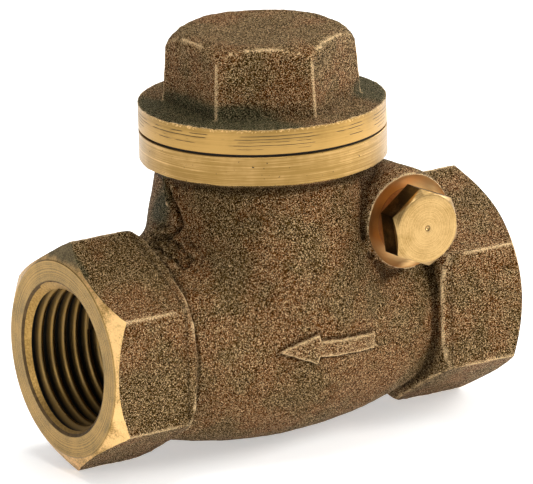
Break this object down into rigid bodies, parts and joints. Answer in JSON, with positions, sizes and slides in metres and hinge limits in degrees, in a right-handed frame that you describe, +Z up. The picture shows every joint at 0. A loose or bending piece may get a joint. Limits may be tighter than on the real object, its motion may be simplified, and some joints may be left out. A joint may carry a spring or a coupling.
{
  "type": "swing check valve",
  "caption": "Small cast bronze swing check valve: threaded hexagon pipe ends, a screwed hexagon cap, and a disc that hangs on a cross pin and closes on a slanted seat.",
  "frame": {"origin": "centre of the outlet mouth, on the pipe axis in the outlet hexagon's end face", "axes": "+X along the pipe axis from the outlet to the inlet, so the flow runs towards -X; -Y is the side with the flow arrow and the hinge plug; +Z up through the screwed cap"},
  "size_m": [0.065, 0.0367, 0.0562],
  "materials": {
    "cast_bronze": "sand cast and tarnished, turned bright at the collar and mouths",
    "turned_brass": "bright, turned",
    "soft_copper": "dull",
    "inner_bronze": "cast, satin",
    "inner_brass": "turned, satin",
    "stainless_steel": "drawn wire",
    "gasket": "matt",
    "seat_rubber": "matt"
  },
  "bodies": {
    "valve": {"body": "cast_bronze", "cap": "cast_bronze", "cap_gasket": "gasket", "hinge_pin": "stainless_steel", "plug_washer": "soft_copper", "hinge_plug": "turned_brass"},
    "hanger": {"disc_hanger": "inner_bronze"},
    "disc": {"disc_holder": "inner_brass", "seat_disc": "seat_rubber", "seat_disc_washer": "inner_brass", "seat_disc_nut": "inner_brass", "hanger_washer": "inner_brass", "hanger_nut": "inner_brass", "split_pin": "stainless_steel"}
  },
  "joints": [
    {"name": "disc_swing", "type": "hinge", "parent": "valve", "child": "hanger", "pos_m": [0.0456, 0, 0.0145], "axis": [0, 1, 0], "range_deg": [0, 80]},
    {"name": "disc_spin", "type": "hinge", "parent": "hanger", "child": "disc", "pos_m": [0.0404, 0, 0.00022], "axis": [-0.9397, 0, 0.342], "continuous": true}
  ]
}
